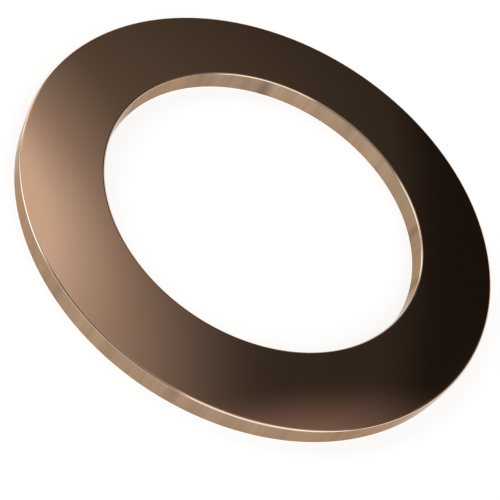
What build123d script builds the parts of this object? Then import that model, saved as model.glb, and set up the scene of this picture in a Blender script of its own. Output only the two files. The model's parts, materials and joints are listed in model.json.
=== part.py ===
from build123d import *

import os

# Flat copper washer: one ring blanked from sheet, with all four of its corners rounded by deburring.
# Millimetres, +Z up. The origin is the middle of the underside, so the ring lies on Z = 0.

BORE_DIAMETER = 31.0   # clears a bolt of 30 mm
RING_WIDTH = 7.5       # from the bore's wall to the outer rim
THICKNESS = 2.0        # of the sheet
EDGE_RADIUS = 0.2      # where each face turns into a wall

bore_radius = BORE_DIAMETER / 2
outer_radius = bore_radius + RING_WIDTH


def ring_section():
    """The ring's cross-section on the XZ plane: one strip of sheet, seen end on, with rounded corners."""
    with BuildSketch(Plane.XZ) as section:
        with Locations((bore_radius, 0)):
            Rectangle(outer_radius - bore_radius, THICKNESS, align=(Align.MIN, Align.MIN))
        fillet(section.vertices(), radius=EDGE_RADIUS)
    return section.sketch


def build_washer():
    """The section turned once about the bore's axis."""
    return revolve(ring_section(), axis=Axis.Z, revolution_arc=360)


os.makedirs("parts", exist_ok=True)
washer = build_washer()
washer.label = "washer"
export_step(washer, "parts/washer.step")
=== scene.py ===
import json
import math

import bpy
from mathutils import Matrix, Vector


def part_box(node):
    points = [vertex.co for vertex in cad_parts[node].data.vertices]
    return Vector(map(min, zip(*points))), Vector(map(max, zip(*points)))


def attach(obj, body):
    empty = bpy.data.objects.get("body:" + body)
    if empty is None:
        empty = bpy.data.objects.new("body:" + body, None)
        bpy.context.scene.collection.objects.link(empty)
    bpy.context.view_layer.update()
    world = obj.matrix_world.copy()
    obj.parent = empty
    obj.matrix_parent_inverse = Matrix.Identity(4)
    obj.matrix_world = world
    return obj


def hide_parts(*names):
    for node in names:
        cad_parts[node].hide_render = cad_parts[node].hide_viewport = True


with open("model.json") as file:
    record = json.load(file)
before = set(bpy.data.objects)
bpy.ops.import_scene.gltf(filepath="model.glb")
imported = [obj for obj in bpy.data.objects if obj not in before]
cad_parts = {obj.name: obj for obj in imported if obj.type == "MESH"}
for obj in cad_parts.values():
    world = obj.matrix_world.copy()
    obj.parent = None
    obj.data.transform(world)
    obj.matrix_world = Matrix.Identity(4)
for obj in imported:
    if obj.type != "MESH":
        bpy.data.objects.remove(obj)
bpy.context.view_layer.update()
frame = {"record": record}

bl_info = {
    "name": "Copper Washer",
    "version": (1, 0, 0),
    "blender": (4, 5, 0),
    "location": "View3D > Sidebar > Washer",
    "description": "Builds a flat copper sealing washer and the studio that it is shown in",
    "category": "Object",
}

# The washer's names in the construction frame. Lengths are in metres, and MM is one millimetre.
NODE = "washer"
BODY = "root"
MM = 0.001
DIGITS = 5      # decimals of a metre that lengths are rounded to and shown with


def frame_sizes():
    """Outer diameter, bore, thickness and edge radius, read from the frame's box and from its bore mount."""
    low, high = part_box(NODE)
    bore = next(mount for mount in frame["record"]["mounts"] if mount["kind"] == "bore")
    thickness = high.z - low.z
    wall_length = bore["dims"]["length_mm"] * MM
    return {
        "outer_diameter": round(high.x - low.x, DIGITS),
        "bore_diameter": 2 * bore["dims"]["r_mm"] * MM,
        "thickness": round(thickness, DIGITS),
        "edge_radius": round((thickness - wall_length) / 2, DIGITS),
    }


SIZES = frame_sizes()


class WasherSizes(bpy.types.PropertyGroup):
    """Sizes of the ring."""

    outer_diameter: bpy.props.FloatProperty(
        name="Outer diameter", description="Across the rim", default=SIZES["outer_diameter"],
        precision=DIGITS, subtype="DISTANCE", unit="LENGTH")
    bore_diameter: bpy.props.FloatProperty(
        name="Bore diameter", description="Across the hole", default=SIZES["bore_diameter"],
        precision=DIGITS, subtype="DISTANCE", unit="LENGTH")
    thickness: bpy.props.FloatProperty(
        name="Thickness", description="Of the copper sheet", default=SIZES["thickness"],
        precision=DIGITS, subtype="DISTANCE", unit="LENGTH")
    edge_radius: bpy.props.FloatProperty(
        name="Edge radius", description="Of the four deburred corners", default=SIZES["edge_radius"],
        precision=DIGITS, subtype="DISTANCE", unit="LENGTH")


class CopperFinish(bpy.types.PropertyGroup):
    """Colours and polish of the copper."""

    face_colour: bpy.props.FloatVectorProperty(
        name="Face colour", description="Reflection colour of the two flat faces",
        default=(0.620, 0.380, 0.232), size=3, min=0, max=1, subtype="COLOR")
    # Paler than the faces: partly the fresh metal of the deburred corners, partly a painted highlight, so
    # that their glints read near white.
    edge_highlight_colour: bpy.props.FloatVectorProperty(
        name="Edge colour", description="Reflection colour of the bright deburred corners",
        default=(0.880, 0.720, 0.600), size=3, min=0, max=1, subtype="COLOR")
    # Darker than the faces: a painted shade that stands in for the dim surroundings which the walls mirror.
    shaded_wall_colour: bpy.props.FloatVectorProperty(
        name="Wall colour", description="Reflection colour of the blanked walls",
        default=(0.370, 0.256, 0.170), size=3, min=0, max=1, subtype="COLOR")
    face_roughness: bpy.props.FloatProperty(
        name="Face roughness", description="Of the polished faces",
        default=0.05, min=0, max=1, subtype="FACTOR")
    wall_roughness: bpy.props.FloatProperty(
        name="Wall roughness", description="Of the blanked walls",
        default=0.12, min=0, max=1, subtype="FACTOR")


class StudioSettings(bpy.types.PropertyGroup):
    """Brightness of the floor."""

    floor_grey: bpy.props.FloatProperty(
        name="Floor grey", description="How much of the studio's light the floor gives back",
        default=0.52, min=0, max=1, subtype="FACTOR")
    floor_glow: bpy.props.FloatProperty(
        name="Floor glow",
        description="Added to the floor where it is seen or mirrored, so that it reads as white",
        default=0.73, min=0, max=1, subtype="FACTOR")


# A Mix node's colour sockets. They share their names with its other sockets, so they are found by number.
MIX_FIRST = 6
MIX_SECOND = 7
MIX_RESULT = 2


class NodeMaker:
    """Adds nodes to one tree and links them, so that a formula reads from left to right."""

    def __init__(self, tree):
        self.tree = tree

    def node(self, kind, inputs=(), **settings):
        """A new node. Each input is a value, or another node's output to link to."""
        made = self.tree.nodes.new(kind)
        for name, value in settings.items():
            setattr(made, name, value)
        for key, value in dict(inputs).items():
            self.feed(made.inputs[key], value)
        return made

    def feed(self, socket, value):
        """Gives a socket its value, or links it to another node's output."""
        if isinstance(value, bpy.types.NodeSocket):
            self.tree.links.new(value, socket)
        else:
            socket.default_value = value

    def math(self, operation, *values, clamp=False):
        """One operation on one or more numbers, and where it is asked for, kept from 0 to 1."""
        made = self.node("ShaderNodeMath", dict(enumerate(values)), operation=operation)
        made.use_clamp = clamp
        return made.outputs[0]

    def add(self, *values):
        """Numbers, added up."""
        total = values[0]
        for value in values[1:]:
            total = self.math("ADD", total, value)
        return total

    def times(self, *values):
        """Numbers, multiplied together."""
        product = values[0]
        for value in values[1:]:
            product = self.math("MULTIPLY", product, value)
        return product

    def split(self, vector):
        """The three parts of a vector."""
        return self.node("ShaderNodeSeparateXYZ", {0: vector}).outputs

    def join(self, x=0.0, y=0.0, z=0.0):
        """A vector from its three parts."""
        return self.node("ShaderNodeCombineXYZ", {0: x, 1: y, 2: z}).outputs[0]

    def scaled(self, vector, factor):
        """A vector or colour, times a number."""
        made = self.node("ShaderNodeVectorMath", {"Vector": vector, "Scale": factor}, operation="SCALE")
        return made.outputs[0]

    def sum_of(self, vectors):
        """Vectors or colours, added up."""
        total = vectors[0]
        for vector in vectors[1:]:
            total = self.node("ShaderNodeVectorMath", {0: total, 1: vector}, operation="ADD").outputs[0]
        return total

    def lowest(self, first, second):
        """The lower of two colours, channel by channel."""
        return self.node("ShaderNodeVectorMath", {0: first, 1: second}, operation="MINIMUM").outputs[0]

    def soft_step(self, value, start, end, low=0.0, high=1.0):
        """From low at start to high at end, easing in and out."""
        return self.node("ShaderNodeMapRange", {
            "Value": value, "From Min": start, "From Max": end, "To Min": low, "To Max": high},
            interpolation_type="SMOOTHSTEP").outputs[0]

    def mix(self, factor, first, second):
        """From the first colour to the second as the factor goes from 0 to 1."""
        made = self.node("ShaderNodeMix", data_type="RGBA")
        self.feed(made.inputs["Factor"], factor)
        self.feed(made.inputs[MIX_FIRST], first)
        self.feed(made.inputs[MIX_SECOND], second)
        return made.outputs[MIX_RESULT]


def grey(value):
    """A colour with the same value in each channel."""
    return (value, value, value)


def opaque(colour):
    """A colour with its alpha."""
    return (*colour, 1.0)


def new_material(name):
    """An empty material, and the maker that fills its tree."""
    material = bpy.data.materials.new(name)
    material.use_nodes = True
    material.node_tree.nodes.clear()
    return material, NodeMaker(material.node_tree)


# The ring's mesh.
STEPS_AROUND = 360
CORNERS = 4
CORNER_STEPS = 6
EXTRA_POINTS = 3        # a corner has one more point than it has steps, and one on the flat at each side
SUPPORT = 0.03 * MM     # from the corner to that point, a narrow strip that keeps the flats' shading flat
WALL = "wall"           # the mesh's attribute that is 0 on the faces and 1 on the walls


def section_curve(maker, sizes, corner_steps):
    """The ring's section, a closed curve of four arcs, with a point just before and after each arc."""
    points_per_corner = maker.add(corner_steps, EXTRA_POINTS)
    index = maker.node("GeometryNodeInputIndex").outputs[0]
    corner = maker.math("FLOOR", maker.math("DIVIDE", index, points_per_corner))
    step = maker.math("SUBTRACT", index, maker.times(corner, points_per_corner))
    travel = maker.math("DIVIDE", maker.math("SUBTRACT", step, 1), corner_steps)
    share = maker.math("MULTIPLY", travel, 1, clamp=True)
    beyond = maker.times(maker.math("SUBTRACT", travel, share), corner_steps, SUPPORT)
    quarter = math.tau / CORNERS
    angle = maker.times(maker.add(corner, share), quarter)
    diagonal = maker.times(maker.add(corner, 0.5), quarter)
    cos_angle = maker.math("COSINE", angle)
    sin_angle = maker.math("SINE", angle)
    half_width = maker.math("SUBTRACT", maker.times(sizes["width"], 0.5), sizes["edge_radius"])
    half_height = maker.math("SUBTRACT", maker.times(sizes["thickness"], 0.5), sizes["edge_radius"])
    across = maker.add(
        maker.times(half_width, maker.math("SIGN", maker.math("COSINE", diagonal))),
        maker.times(sizes["edge_radius"], cos_angle),
        maker.times(beyond, sin_angle, -1))
    up = maker.add(
        maker.times(half_height, maker.math("SIGN", maker.math("SINE", diagonal))),
        maker.times(sizes["edge_radius"], sin_angle),
        maker.times(beyond, cos_angle))
    place = maker.join(across, up)
    points = maker.node("GeometryNodePoints", {
        "Count": maker.times(points_per_corner, CORNERS), "Position": place})
    curve = maker.node("GeometryNodePointsToCurves", {0: points.outputs[0]})
    closed = maker.node("GeometryNodeSetSplineCyclic", {"Geometry": curve.outputs[0], "Cyclic": True})
    return closed.outputs[0]


def ring_tree(material):
    """Geometry nodes that sweep the rounded section round the bore's axis."""
    tree = bpy.data.node_groups.new("washer_ring", "GeometryNodeTree")
    tree.is_modifier = True
    for name in ("Outer Diameter", "Bore Diameter", "Thickness", "Edge Radius"):
        socket = tree.interface.new_socket(name=name, in_out="INPUT", socket_type="NodeSocketFloat")
        socket.subtype = "DISTANCE"
    for name in ("Steps Around", "Corner Steps"):
        tree.interface.new_socket(name=name, in_out="INPUT", socket_type="NodeSocketInt")
    tree.interface.new_socket(name="Geometry", in_out="OUTPUT", socket_type="NodeSocketGeometry")
    maker = NodeMaker(tree)
    given = maker.node("NodeGroupInput").outputs
    outer = given["Outer Diameter"]
    bore = given["Bore Diameter"]
    width = maker.times(maker.math("SUBTRACT", outer, bore), 0.5)
    sizes = {"width": width, "thickness": given["Thickness"], "edge_radius": given["Edge Radius"]}
    section = section_curve(maker, sizes, given["Corner Steps"])
    middle_radius = maker.times(maker.add(outer, bore), 0.25)
    circle = maker.node("GeometryNodeCurvePrimitiveCircle", {
        "Resolution": given["Steps Around"], "Radius": middle_radius})
    lift = maker.join(z=maker.times(given["Thickness"], 0.5))
    path = maker.node("GeometryNodeSetPosition", {"Geometry": circle.outputs[0], "Offset": lift})
    ring = maker.node("GeometryNodeCurveToMesh", {"Curve": path.outputs[0], "Profile Curve": section})
    normal = maker.node("GeometryNodeInputNormal").outputs[0]
    upright = maker.split(normal)["Z"]
    wall = maker.math("SUBTRACT", 1, maker.math("ABSOLUTE", upright))
    marked = maker.node(
        "GeometryNodeStoreNamedAttribute", {"Geometry": ring.outputs[0], "Name": WALL, "Value": wall},
        data_type="FLOAT", domain="POINT")
    smooth = maker.node("GeometryNodeSetShadeSmooth", {"Geometry": marked.outputs[0]})
    real = maker.node("GeometryNodeRealizeInstances", {"Geometry": smooth.outputs[0]})
    finished = maker.node("GeometryNodeSetMaterial", {"Geometry": real.outputs[0], "Material": material})
    maker.node("NodeGroupOutput", {"Geometry": finished.outputs[0]})
    return tree


def apply_tree(name, tree, values):
    """Runs a geometry node tree with named inputs, and returns the result as a plain mesh object."""
    carrier = bpy.data.objects.new(name + "_carrier", bpy.data.meshes.new(name + "_carrier"))
    bpy.context.scene.collection.objects.link(carrier)
    modifier = carrier.modifiers.new("nodes", "NODES")
    modifier.node_group = tree
    for item in tree.interface.items_tree:
        if item.item_type == "SOCKET" and item.in_out == "INPUT" and item.name in values:
            modifier[item.identifier] = values[item.name]
    graph = bpy.context.evaluated_depsgraph_get()
    mesh = bpy.data.meshes.new_from_object(carrier.evaluated_get(graph))
    carrier.modifiers.remove(modifier)
    bpy.data.objects.remove(carrier)
    mesh.name = name
    piece = bpy.data.objects.new(name, mesh)
    bpy.context.scene.collection.objects.link(piece)
    return piece


# Fine streaks that the punch and the die leave along the walls.
STREAK_WAVES = (6.0 * MM, 1.2 * MM, 0.30 * MM)      # three widths of them, round the wall
STREAK_LENGTH = 18 * MM                   # along the axis, so that they run right down the wall
STREAK_CONTRAST = (0.20, 0.18, 0.14)      # of each width, above and below the wall's own tone
STREAK_DETAIL = 2
STREAK_START = (28.4, 71.3, 9.6)          # where in the noise the streaks are taken, as a seed
STREAK_DEPTH = 0.0003 * MM
# A few deeper score lines among them.
SCORE_WAVE = 2.0 * MM
SCORE_DETAIL = 0
SCORE_RANGE = (0.58, 0.84)                # in the noise, from where a score starts to where it is darkest
SCORE_DARK = 0.50                         # the share of the tone that it takes away there
# A corner's surface leans from the face, 0, to the wall, 1. Its tone changes over these parts of that.
# The edge's pale tone is partly a painted highlight, and the wall's darker tone is painted shade.
EDGE_LEAN = (0.06, 0.16)                  # from the face's tone to the bright edge's
WALL_LEAN = (0.33, 0.56)                  # from the bright edge's to the wall's
# The faces' slow change of tone, and the fine change of their polish.
FACE_PATCH = 9 * MM
FACE_DETAIL = 1
FACE_TINT = (1.0, 0.96, 1.03)             # at the rosiest, times the faces' colour
POLISH_PATCH = 0.6 * MM
POLISH_CHANGE = 0.02                      # of roughness, from the best polished to the least
GLARE_TINT = (0.80, 0.66, 0.55)           # keeps copper's colour where it is seen at a low angle


def streak_noise(maker, place, wave, detail):
    """Noise drawn out along the washer's axis."""
    scaled = maker.node("ShaderNodeMapping", {
        "Vector": place, "Location": STREAK_START,
        "Scale": (1 / wave, 1 / wave, 1 / STREAK_LENGTH)}).outputs[0]
    noise = maker.node("ShaderNodeTexNoise", {"Vector": scaled, "Scale": 1.0, "Detail": detail})
    return noise.outputs["Fac"]


def fine_streaks(maker, place):
    """A factor near 1 that changes round the wall and hardly along it."""
    scores = streak_noise(maker, place, SCORE_WAVE, SCORE_DETAIL)
    factor = maker.soft_step(scores, *SCORE_RANGE, 1, 1 - SCORE_DARK)
    for wave, contrast in zip(STREAK_WAVES, STREAK_CONTRAST):
        noise = streak_noise(maker, place, wave, STREAK_DETAIL)
        factor = maker.times(factor, maker.add(1 - contrast, maker.times(noise, 2 * contrast)))
    return factor


def copper_material(finish):
    """Polished copper: near-mirror faces, deburred corners made pale partly as a painted highlight, and
    walls streaked where it was cut and darkened with painted shade.
    """
    material, maker = new_material("polished_copper")
    place = maker.node("ShaderNodeTexCoord").outputs["Object"]
    wall = maker.node("ShaderNodeAttribute", attribute_name=WALL, attribute_type="GEOMETRY").outputs["Fac"]
    streaks = fine_streaks(maker, place)

    patches = maker.node("ShaderNodeTexNoise", {
        "Vector": place, "Scale": 1 / FACE_PATCH, "Detail": FACE_DETAIL}).outputs["Fac"]
    rosy = [channel * tint for channel, tint in zip(finish.face_colour, FACE_TINT)]
    face_tone = maker.mix(patches, opaque(finish.face_colour), opaque(rosy))
    # The corners turn to the edge's pale tone, which is partly a painted highlight.
    face_and_corner_highlight_tone = maker.mix(maker.soft_step(wall, *EDGE_LEAN), face_tone, opaque(finish.edge_highlight_colour))
    # The walls turn to their darker tone, a painted shade, times the fine streaks.
    colour = maker.mix(
        maker.soft_step(wall, *WALL_LEAN), face_and_corner_highlight_tone, maker.scaled(finish.shaded_wall_colour, streaks))

    polish = maker.node("ShaderNodeTexNoise", {"Vector": place, "Scale": 1 / POLISH_PATCH}).outputs["Fac"]
    rough = maker.add(
        finish.face_roughness - POLISH_CHANGE / 2, maker.times(polish, POLISH_CHANGE),
        maker.times(wall, finish.wall_roughness - finish.face_roughness))
    bump = maker.node("ShaderNodeBump", {"Distance": STREAK_DEPTH, "Height": maker.times(wall, streaks)})
    shader = maker.node("ShaderNodeBsdfPrincipled", {
        "Base Color": colour, "Metallic": 1.0, "Roughness": rough, "Specular Tint": opaque(GLARE_TINT),
        "Normal": bump.outputs[0]})
    maker.node("ShaderNodeOutputMaterial", {"Surface": shader.outputs[0]})
    return material


class WASHER_OT_build(bpy.types.Operator):
    """Build the copper washer"""

    bl_idname = "washer.build"
    bl_label = "Build washer"

    def execute(self, context):
        sizes = context.scene.washer_sizes
        tree = ring_tree(copper_material(context.scene.copper_finish))
        piece = apply_tree("copper_washer", tree, {
            "Outer Diameter": sizes.outer_diameter,
            "Bore Diameter": sizes.bore_diameter,
            "Thickness": sizes.thickness,
            "Edge Radius": sizes.edge_radius,
            "Steps Around": STEPS_AROUND,
            "Corner Steps": CORNER_STEPS,
        })
        if not piece.data.polygons:
            raise RuntimeError("the ring's mesh is empty")
        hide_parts(NODE)
        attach(piece, BODY)
        return {"FINISHED"}


# The camera, as fitted to the photograph's outlines by a separate program, and rounded. Lengths are in outer
# radii of the washer.
CAMERA_LENS = 87.54                       # mm, on a sensor 36 mm wide
CAMERA_DISTANCE = 4.6263                  # from the point aimed at
CAMERA_TILT = math.radians(47.62)         # below the horizon
CAMERA_ROLL = math.radians(33.69)         # anticlockwise, seen from behind the camera
CAMERA_AIM = (0.03796, -0.26757)          # on the upper face, from its middle
CLIP_START = 1 * MM                       # the nearest and the farthest that the camera sees
CLIP_END = 10.0


def place_camera(scene, radius, face_height):
    """A camera that looks along +Y and down, rolled as in the photograph."""
    camera_data = bpy.data.cameras.new("camera")
    camera_data.lens = CAMERA_LENS
    camera_data.clip_start = CLIP_START
    camera_data.clip_end = CLIP_END
    camera = bpy.data.objects.new("camera", camera_data)
    aim = Vector((CAMERA_AIM[0] * radius, CAMERA_AIM[1] * radius, face_height))
    forward = Vector((0, math.cos(CAMERA_TILT), -math.sin(CAMERA_TILT)))
    level = Vector((1, 0, 0))
    upright = level.cross(forward)
    right = level * math.cos(CAMERA_ROLL) + upright * math.sin(CAMERA_ROLL)
    up = upright * math.cos(CAMERA_ROLL) - level * math.sin(CAMERA_ROLL)
    turn = Matrix((right, up, -forward)).transposed().to_4x4()
    camera.matrix_world = Matrix.Translation(aim - forward * CAMERA_DISTANCE * radius) @ turn
    scene.collection.objects.link(camera)
    scene.camera = camera


# The floor, in metres.
FLOOR_RADIUS = 4.0
FLOOR_SIDES = 64
FLOOR_DROP = 0.01 * MM    # just clear of the underside, so that the two never share a plane


def floor_material(settings):
    """A white floor that keeps shadows, and is clear from below, so that the underside can be looked at."""
    material, maker = new_material("studio_floor")
    paint = maker.node("ShaderNodeBsdfDiffuse", {"Color": opaque(grey(settings.floor_grey))})
    path = maker.node("ShaderNodeLightPath").outputs
    seen = maker.math("MAXIMUM", path["Is Camera Ray"], maker.math(
        "MAXIMUM", path["Is Glossy Ray"], path["Is Transmission Ray"]))
    glow = maker.node("ShaderNodeEmission", {"Strength": maker.times(seen, settings.floor_glow)})
    both = maker.node("ShaderNodeAddShader", {0: paint.outputs[0], 1: glow.outputs[0]})
    below = maker.node("ShaderNodeNewGeometry").outputs["Backfacing"]
    clear = maker.node("ShaderNodeBsdfTransparent")
    mixed = maker.node("ShaderNodeMixShader", {0: below, 1: both.outputs[0], 2: clear.outputs[0]})
    maker.node("ShaderNodeOutputMaterial", {"Surface": mixed.outputs[0]})
    return material


def lay_floor(scene, settings):
    """A round floor that the washer lies on."""
    corners = [(FLOOR_RADIUS * math.cos(turn), FLOOR_RADIUS * math.sin(turn), -FLOOR_DROP)
               for turn in (side * math.tau / FLOOR_SIDES for side in range(FLOOR_SIDES))]
    mesh = bpy.data.meshes.new("floor")
    mesh.from_pydata(corners, [], [range(FLOOR_SIDES)])
    mesh.materials.append(floor_material(settings))
    floor = bpy.data.objects.new("floor", mesh)
    scene.collection.objects.link(floor)


# The studio round the washer, which its metal mirrors. Bearings are degrees from +X towards +Y, and rises
# are degrees above the level. A white backdrop stands all round, under a dark ceiling with soft lights.
BACKDROP_TOP = (16, 22)       # the rises at which the backdrop starts to fade and is gone
BACKDROP_WHITE = 1.0
CEILING_DARK = 0.016
# Upright light panels above the backdrop. Each has its middle bearing, half its width, the width of its
# soft edges, the rises at which it starts to fade and is gone, and its colour.
PANELS = (
    (307, 21, 6, (66, 84), (1.14, 1.11, 1.12)),     # right front
    (339, 11, 4, (60, 72), (1.34, 1.33, 1.32)),     # right front, the brighter strip beside it
    (186, 19, 5, (44, 60), (1.45, 1.60, 1.68)),     # left
    (149, 9, 3, (32, 44), (1.40, 1.50, 1.56)),      # far left
    (250, 38, 8, (40, 84), (0.42, 0.34, 0.29)),     # front
    (3, 13, 8, (20, 50), (0.25, 0.22, 0.19)),       # right
    (46, 24, 10, (66, 76), (0.13, 0.12, 0.11)),     # far right
)
# Soft lights in the ceiling. Places there are how far a direction goes towards +X and +Y for each step up.
# Each light has its middle, its reach each way, its turn in degrees, its brightness and its tint. The first,
# second and fourth lights and the disc are a fit's results, rounded, and the third began as one. The fit was
# made by a separate program to the tones of the photograph's face. The fifth light was chosen on its own.
CEILING_LIGHTS = (
    ((-0.57, 0.64), (0.47, 0.78), -103, 1.78, (1.00, 0.99, 1.09)),      # the main light, at the left
    ((-0.42, 0.61), (0.88, 0.47), -121, 0.18, (1.00, 1.03, 0.98)),      # a dim one round it
    ((0.126, 0.675), (0.29, 0.085), 50, 0.39, (1.00, 0.83, 0.90)),      # a rosy one, mirrored at the front
    ((-0.46, 0.79), (0.17, 0.41), -98, 0.97, (1.00, 1.22, 1.35)),       # a cool one over the main light
    ((0.25, 0.12), (0.75, 0.55), 0, 0.80, (1.00, 0.97, 0.94)),          # overhead, for looks from above
)
# A wide, faint disc among them: its middle, its radius, the width of its soft edge and its brightness.
CEILING_DISC = ((-1.28, 0.53), 1.58, 0.08, 0.03)
LIGHT_LIMIT = (0.93, 0.95, 0.99)      # the most that all of these give together, in each channel
LOWEST_RISE = 0.08                    # a ray's step up, below which it doesn't reach them


def sine(degrees):
    """The sine of an angle in degrees, which is a ray's step up at that rise."""
    return math.sin(math.radians(degrees))


def fall_off(maker, spot, middle, reach, turn=0.0):
    """1 at a place in the ceiling, falling evenly to 0 at an ellipse round it."""
    moved = maker.node("ShaderNodeMapping", {
        "Vector": spot, "Location": (*middle, 0),
        "Rotation": (0, 0, math.radians(turn)), "Scale": (*reach, 1)},
        vector_type="TEXTURE").outputs[0]
    return maker.node("ShaderNodeTexGradient", {"Vector": moved}, gradient_type="SPHERICAL").outputs["Fac"]


def ceiling_light(maker, x, y, rise):
    """The colour that the ceiling's lights send along a direction."""
    steep = maker.math("MAXIMUM", rise, LOWEST_RISE)
    spot = maker.join(maker.math("DIVIDE", x, steep), maker.math("DIVIDE", y, steep))
    colours = []
    for middle, reach, turn, brightness, tint in CEILING_LIGHTS:
        fall = fall_off(maker, spot, middle, reach, turn)
        colours.append(maker.scaled(tint, maker.soft_step(fall, 0, 1, 0, brightness)))
    middle, radius, edge, brightness = CEILING_DISC
    fall = fall_off(maker, spot, middle, (radius, radius))
    colours.append(maker.scaled(grey(1), maker.soft_step(fall, 0, edge / radius, 0, brightness)))
    lights = maker.lowest(maker.sum_of(colours), LIGHT_LIMIT)
    return maker.scaled(lights, maker.math("GREATER_THAN", rise, LOWEST_RISE))


def panel_light(maker, bearing, rise):
    """The colours that the dark of the studio and its upright panels send along a direction."""
    colours = [grey(CEILING_DARK)]
    for middle, half, edge, (full, none), colour in PANELS:
        turned = maker.math("WRAP", maker.math("SUBTRACT", bearing, middle), -180, 180)
        across = maker.soft_step(maker.math("ABSOLUTE", turned), half - edge / 2, half + edge / 2, 1, 0)
        up = maker.soft_step(rise, sine(full), sine(none), 1, 0)
        colours.append(maker.scaled(colour, maker.times(across, up)))
    return maker.sum_of(colours)


def studio_world(scene):
    """The white backdrop, the panels and the ceiling, the same to every ray."""
    world = bpy.data.worlds.new("studio")
    world.use_nodes = True
    world.node_tree.nodes.clear()
    maker = NodeMaker(world.node_tree)
    x, y, rise = maker.split(maker.node("ShaderNodeTexCoord").outputs["Generated"])
    bearing = maker.times(maker.math("ARCTAN2", y, x), 180 / math.pi)
    studio = maker.sum_of([panel_light(maker, bearing, rise), ceiling_light(maker, x, y, rise)])
    above = maker.soft_step(rise, sine(BACKDROP_TOP[0]), sine(BACKDROP_TOP[1]))
    colour = maker.mix(above, opaque(grey(BACKDROP_WHITE)), studio)
    background = maker.node("ShaderNodeBackground", {"Color": colour})
    maker.node("ShaderNodeOutputWorld", {"Surface": background.outputs[0]})
    scene.world = world


class WASHER_OT_stage(bpy.types.Operator):
    """Set up the floor, the studio's light and the camera"""

    bl_idname = "washer.stage"
    bl_label = "Set up studio"

    def execute(self, context):
        scene = context.scene
        sizes = scene.washer_sizes
        radius = sizes.outer_diameter / 2
        scene.view_settings.view_transform = "Standard"
        place_camera(scene, radius, sizes.thickness)
        studio_world(scene)
        lay_floor(scene, scene.studio_settings)
        return {"FINISHED"}


class WASHER_PT_panel(bpy.types.Panel):
    """Sizes, finish and builders of the washer"""

    bl_idname = "WASHER_PT_panel"
    bl_label = "Copper washer"
    bl_space_type = "VIEW_3D"
    bl_region_type = "UI"
    bl_category = "Washer"

    def draw(self, context):
        layout = self.layout
        scene = context.scene
        for group in (scene.washer_sizes, scene.copper_finish, scene.studio_settings):
            box = layout.box()
            for name in group.bl_rna.properties.keys():
                if name not in ("rna_type", "name"):
                    box.prop(group, name)
        layout.operator(WASHER_OT_build.bl_idname)
        layout.operator(WASHER_OT_stage.bl_idname)


CLASSES = (WasherSizes, CopperFinish, StudioSettings, WASHER_OT_build, WASHER_OT_stage, WASHER_PT_panel)


def register():
    for each in CLASSES:
        bpy.utils.register_class(each)
    bpy.types.Scene.washer_sizes = bpy.props.PointerProperty(type=WasherSizes)
    bpy.types.Scene.copper_finish = bpy.props.PointerProperty(type=CopperFinish)
    bpy.types.Scene.studio_settings = bpy.props.PointerProperty(type=StudioSettings)


def unregister():
    del bpy.types.Scene.studio_settings
    del bpy.types.Scene.copper_finish
    del bpy.types.Scene.washer_sizes
    for each in reversed(CLASSES):
        bpy.utils.unregister_class(each)


def main():
    register()
    bpy.ops.washer.build()
    bpy.ops.washer.stage()


if __name__ == "__main__":
    main()
